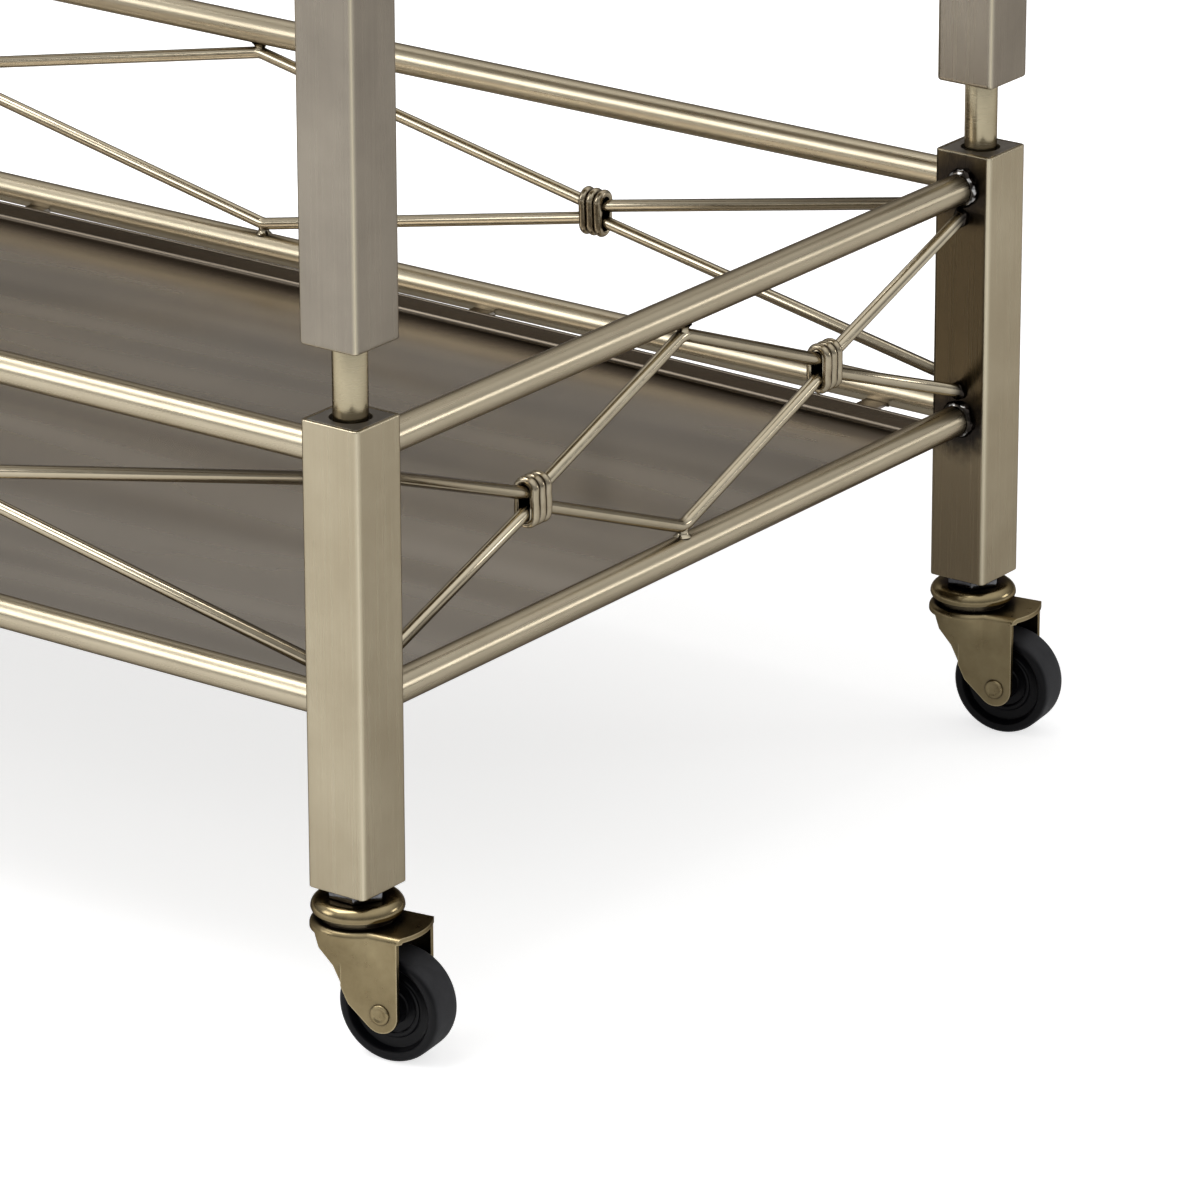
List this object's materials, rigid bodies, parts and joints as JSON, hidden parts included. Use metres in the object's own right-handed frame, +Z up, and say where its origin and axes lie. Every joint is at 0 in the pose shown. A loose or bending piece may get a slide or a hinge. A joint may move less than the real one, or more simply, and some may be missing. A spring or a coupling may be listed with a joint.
{
  "type": "bar cart",
  "caption": "Tall rectangular serving cart with square posts, round rails, bent-rod galleries round two sheet trays, and swivel casters.",
  "frame": {"origin": "on the floor, under the middle of the cart", "axes": "+Z up, X along the long side, +Y to the back"},
  "size_m": [0.7766, 0.4222, 0.831],
  "materials": {
    "post_brass": "brushed, antique brass colour",
    "rail_brass": "satin polished, antique brass colour",
    "rod_brass": "satin polished, antique brass colour",
    "collar_brass": "satin, antique brass colour",
    "tray_sheet": "satin, grey-brown",
    "sleeve_brass": "turned, satin, antique brass colour",
    "plug_metal": "plain, matt",
    "zinc_steel": "zinc plated",
    "caster_brass": "pressed, antique brass plating",
    "rivet_brass": "antique brass plating",
    "ball_steel": "ground, polished",
    "wheel_black": "moulded, satin black"
  },
  "bodies": {
    "frame": {"lower_post_front_left": "post_brass", "lower_post_front_right": "post_brass", "lower_post_back_left": "post_brass", "lower_post_back_right": "post_brass", "middle_post_front_left": "post_brass", "middle_post_front_right": "post_brass", "middle_post_back_left": "post_brass", "middle_post_back_right": "post_brass", "upper_post_front_left": "post_brass", "upper_post_front_right": "post_brass", "upper_post_back_left": "post_brass", "upper_post_back_right": "post_brass", "lower_top_rail_front": "rail_brass", "lower_top_rail_back": "rail_brass", "lower_top_rail_left": "rail_brass", "lower_top_rail_right": "rail_brass", "lower_bottom_rail_front": "rail_brass", "lower_bottom_rail_back": "rail_brass", "lower_bottom_rail_left": "rail_brass", "lower_bottom_rail_right": "rail_brass", "lower_lattice_front": "rod_brass", "lower_lattice_back": "rod_brass", "lower_lattice_left": "rod_brass", "lower_lattice_right": "rod_brass", "lower_collars": "collar_brass", "lower_tray": "tray_sheet", "upper_top_rail_front": "rail_brass", "upper_top_rail_back": "rail_brass", "upper_top_rail_left": "rail_brass", "upper_top_rail_right": "rail_brass", "upper_bottom_rail_front": "rail_brass", "upper_bottom_rail_back": "rail_brass", "upper_bottom_rail_left": "rail_brass", "upper_bottom_rail_right": "rail_brass", "upper_lattice_front": "rod_brass", "upper_lattice_back": "rod_brass", "upper_lattice_left": "rod_brass", "upper_lattice_right": "rod_brass", "upper_collars": "collar_brass", "upper_tray": "tray_sheet", "spacer_sleeves": "sleeve_brass", "joining_studs": "zinc_steel", "post_plugs": "plug_metal", "caster_stems": "zinc_steel", "stem_nuts": "zinc_steel", "bearing_cups": "caster_brass", "bearing_balls": "ball_steel"},
    "swivel_front_left": {"fork_front_left": "caster_brass", "axle_front_left": "rivet_brass"},
    "roller_front_left": {"wheel_front_left": "wheel_black"},
    "swivel_front_right": {"fork_front_right": "caster_brass", "axle_front_right": "rivet_brass"},
    "roller_front_right": {"wheel_front_right": "wheel_black"},
    "swivel_back_left": {"fork_back_left": "caster_brass", "axle_back_left": "rivet_brass"},
    "roller_back_left": {"wheel_back_left": "wheel_black"},
    "swivel_back_right": {"fork_back_right": "caster_brass", "axle_back_right": "rivet_brass"},
    "roller_back_right": {"wheel_back_right": "wheel_black"}
  },
  "joints": [
    {"name": "swivel_front_left", "type": "hinge", "parent": "frame", "child": "swivel_front_left", "pos_m": [-0.352, -0.194, 0.05], "axis": [0, 0, 1], "continuous": true},
    {"name": "roll_front_left", "type": "hinge", "parent": "swivel_front_left", "child": "roller_front_left", "pos_m": [-0.36765, -0.1918, 0.02], "axis": [-0.1392, -0.9903, 0], "continuous": true},
    {"name": "swivel_front_right", "type": "hinge", "parent": "frame", "child": "swivel_front_right", "pos_m": [0.352, -0.194, 0.05], "axis": [0, 0, 1], "continuous": true},
    {"name": "roll_front_right", "type": "hinge", "parent": "swivel_front_right", "child": "roller_front_right", "pos_m": [0.36765, -0.1918, 0.02], "axis": [-0.1392, 0.9903, 0], "continuous": true},
    {"name": "swivel_back_left", "type": "hinge", "parent": "frame", "child": "swivel_back_left", "pos_m": [-0.352, 0.194, 0.05], "axis": [0, 0, 1], "continuous": true},
    {"name": "roll_back_left", "type": "hinge", "parent": "swivel_back_left", "child": "roller_back_left", "pos_m": [-0.36765, 0.1962, 0.02], "axis": [-0.1392, -0.9903, 0], "continuous": true},
    {"name": "swivel_back_right", "type": "hinge", "parent": "frame", "child": "swivel_back_right", "pos_m": [0.352, 0.194, 0.05], "axis": [0, 0, 1], "continuous": true},
    {"name": "roll_back_right", "type": "hinge", "parent": "swivel_back_right", "child": "roller_back_right", "pos_m": [0.36765, 0.1962, 0.02], "axis": [-0.1392, 0.9903, 0], "continuous": true}
  ]
}
